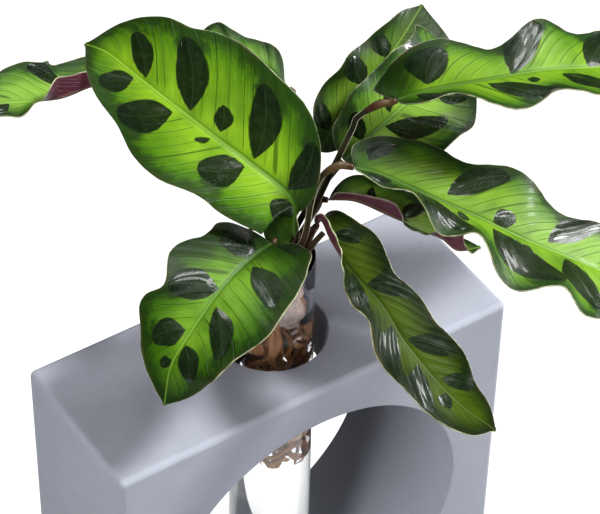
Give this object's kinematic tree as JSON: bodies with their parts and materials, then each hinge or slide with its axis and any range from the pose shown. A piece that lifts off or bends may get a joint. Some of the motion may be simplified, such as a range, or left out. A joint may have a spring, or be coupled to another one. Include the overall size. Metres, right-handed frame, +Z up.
{
  "type": "calathea in glass tube",
  "caption": "Spotted prayer plant rooted in water in a round-bottomed glass tube, standing through the round window of a square cast concrete holder.",
  "frame": {"origin": "middle of the concrete holder's underside", "axes": "+X along the holder's width, +Y from its front through the window to its back, +Z up along the tube"},
  "size_m": [0.2252, 0.2026, 0.256],
  "materials": {
    "concrete": "matte",
    "clear_glass": "gloss",
    "clear_water": "gloss",
    "root_brown": "satin",
    "stem_green": "satin",
    "leaf_green": "satin"
  },
  "bodies": {
    "root": {"concrete_holder": "concrete", "glass_tube": "clear_glass", "water": "clear_water", "root_ball": "root_brown", "rhizome": "root_brown", "petiole_cut_stub": "stem_green", "petiole_left_large": "stem_green", "blade_left_large": "leaf_green", "petiole_left_low": "stem_green", "blade_left_low": "leaf_green", "petiole_front_narrow": "stem_green", "blade_front_narrow": "leaf_green", "petiole_right_low": "stem_green", "blade_right_low": "leaf_green", "petiole_right_high": "stem_green", "blade_right_high": "leaf_green", "petiole_back_upright": "stem_green", "blade_back_upright": "leaf_green", "petiole_back_wide": "stem_green", "blade_back_wide": "leaf_green", "petiole_right_under": "stem_green", "blade_right_under": "leaf_green", "petiole_far_left": "stem_green", "blade_far_left": "leaf_green", "petiole_back_left": "stem_green", "blade_back_left": "leaf_green"}
  },
  "joints": []
}
